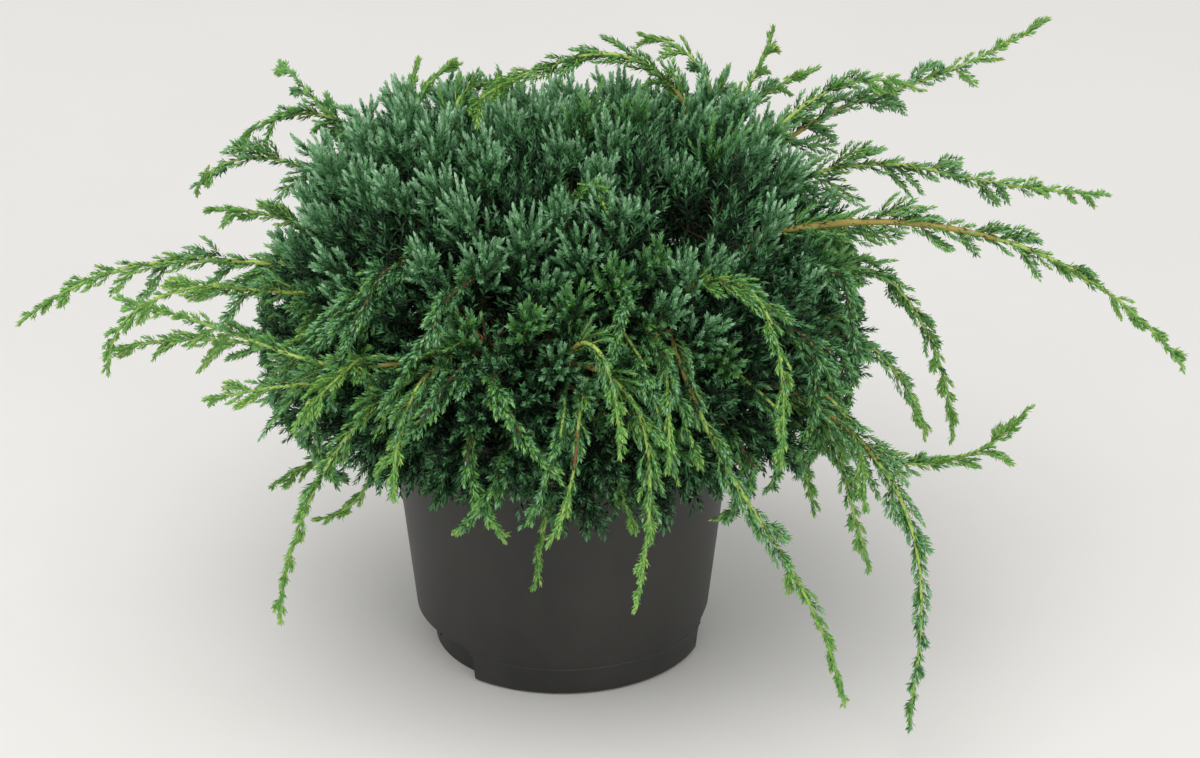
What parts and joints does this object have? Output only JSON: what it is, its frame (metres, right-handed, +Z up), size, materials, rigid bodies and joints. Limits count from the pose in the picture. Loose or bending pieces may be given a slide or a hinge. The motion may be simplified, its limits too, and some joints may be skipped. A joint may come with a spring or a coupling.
{
  "type": "potted juniper shrub",
  "caption": "trailing blue-green juniper shrub in a round dark nursery pot: a dense needled mound over short stem and boughs, with long arching and drooping shoots all round",
  "frame": {"origin": "centre of the pot's flat underside", "axes": "+Z up, +X to the right of the plant as seen from its front, +Y towards its back"},
  "size_m": [0.7086, 0.4637, 0.3735],
  "materials": {
    "pot_plastic": "fine-grained moulded plastic, faintly scuffed",
    "soil": "crumbly dark peat",
    "bark": "thin flaking orange-brown bark",
    "mound_foliage": "blue-green waxy needles, matt",
    "shoot_foliage": "fresh green needles on yellow-green stems, matt"
  },
  "bodies": {
    "root": {"pot": "pot_plastic", "potting_soil": "soil", "trunk": "bark", "bough_right_high": "bark", "bough_right_low": "bark", "bough_back_right": "bark", "bough_front_right_low": "bark", "bough_front_right_high": "bark", "bough_front": "bark", "bough_front_left": "bark", "bough_left_front": "bark", "bough_left": "bark", "bough_back_left": "bark", "bough_back": "bark", "bough_top_left": "bark", "bough_top_right": "bark", "bough_top_front": "bark", "long_shoots_right_arch": "shoot_foliage", "long_shoots_right_low": "shoot_foliage", "long_shoots_right_drop": "shoot_foliage", "long_shoots_right_rise": "shoot_foliage", "long_shoots_right_back": "shoot_foliage", "long_shoots_right_back_top": "shoot_foliage", "long_shoots_front_right_long": "shoot_foliage", "long_shoots_front_right_fan": "shoot_foliage", "long_shoots_front_right_hook": "shoot_foliage", "long_shoots_front_right_fall": "shoot_foliage", "long_shoots_front_right_arch": "shoot_foliage", "long_shoots_front_right_drop": "shoot_foliage", "long_shoots_front_fall": "shoot_foliage", "long_shoots_front_drop": "shoot_foliage", "long_shoots_front_left_sweep": "shoot_foliage", "long_shoots_front_left_drop": "shoot_foliage", "long_shoots_front_left_fall": "shoot_foliage", "long_shoots_left_fan": "shoot_foliage", "long_shoots_left_level": "shoot_foliage", "long_shoots_left_under": "shoot_foliage", "long_shoots_left_arch": "shoot_foliage", "long_shoots_left_hook": "shoot_foliage", "long_shoots_left_back": "shoot_foliage", "long_shoots_back_left_fan": "shoot_foliage", "long_shoots_back_left_rise": "shoot_foliage", "long_shoots_back_left_fall": "shoot_foliage", "long_shoots_back_fall": "shoot_foliage", "long_shoots_back_right_fall": "shoot_foliage", "long_shoots_top_left_curl": "shoot_foliage", "long_shoots_top_left_rise": "shoot_foliage", "long_shoots_top_right_arch": "shoot_foliage", "long_shoots_top_right_rise": "shoot_foliage", "long_shoots_top_front_rise": "shoot_foliage", "foliage_right": "mound_foliage", "foliage_back_right": "mound_foliage", "foliage_back_left": "mound_foliage", "foliage_left": "mound_foliage", "foliage_front_left": "mound_foliage", "foliage_front_right": "mound_foliage", "foliage_top_right": "mound_foliage", "foliage_top_left": "mound_foliage", "foliage_top_front": "mound_foliage"}
  },
  "joints": []
}
